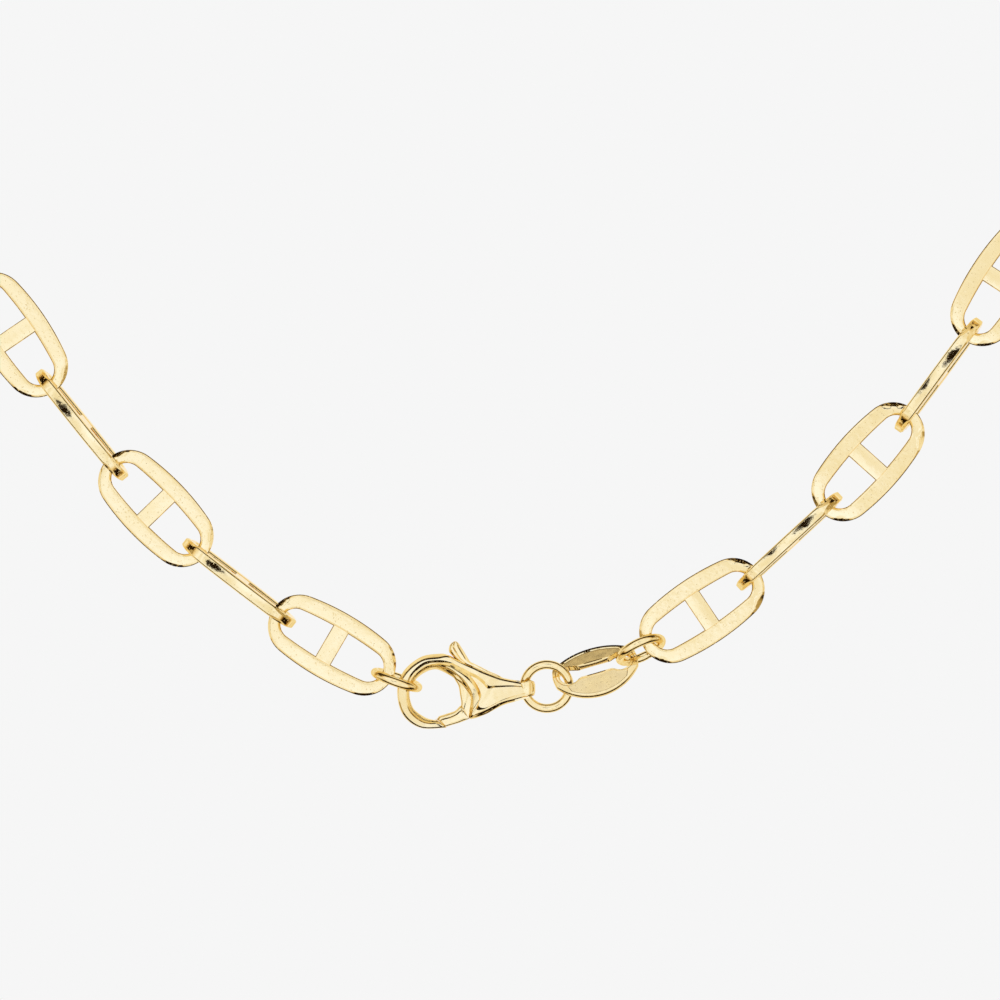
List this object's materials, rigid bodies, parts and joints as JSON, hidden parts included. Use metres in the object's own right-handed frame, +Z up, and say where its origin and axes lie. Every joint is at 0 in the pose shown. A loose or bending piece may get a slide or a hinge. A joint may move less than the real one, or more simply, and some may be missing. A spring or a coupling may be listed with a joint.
{
  "type": "mariner link chain necklace",
  "caption": "Hanging loop of flat oval mariner links, each with a bar across its middle, closed by a lobster clasp with jump rings and an oval tag.",
  "frame": {"origin": "where the chain rests on a neck or a hook: middle of the inner side of the top link", "axes": "+Z up along the hanging loop, X across the loop with the clasp's tail pointing to +X, front facing -Y"},
  "size_m": [0.1379, 0.0066, 0.1709],
  "materials": {
    "gold": "polished"
  },
  "bodies": {
    "necklace": {"clasp_body": "gold", "clasp_pin": "gold", "jump_ring_left": "gold", "jump_ring_middle": "gold", "jump_ring_right": "gold", "tag_link": "gold", "link_01": "gold", "link_02": "gold", "link_03": "gold", "link_04": "gold", "link_05": "gold", "link_06": "gold", "link_07": "gold", "link_08": "gold", "link_09": "gold", "link_10": "gold", "link_11": "gold", "link_12": "gold", "link_13": "gold", "link_14": "gold", "link_15": "gold", "link_16": "gold", "link_17": "gold", "link_18": "gold", "link_19": "gold", "link_20": "gold", "link_21": "gold", "link_22": "gold", "link_23": "gold", "link_24": "gold", "link_25": "gold", "link_26": "gold", "link_27": "gold", "link_28": "gold", "link_29": "gold", "link_30": "gold", "link_31": "gold", "link_32": "gold", "link_33": "gold", "link_34": "gold", "link_35": "gold", "link_36": "gold", "link_37": "gold", "link_38": "gold", "link_39": "gold", "link_40": "gold", "link_41": "gold"},
    "trigger": {"clasp_trigger": "gold"}
  },
  "joints": [
    {"name": "trigger_hinge", "type": "hinge", "parent": "necklace", "child": "trigger", "pos_m": [0.00212, 0, -0.15972], "axis": [0, 1, 0], "range_deg": [0, 20], "stiffness_Nm_per_rad": 0.002}
  ]
}
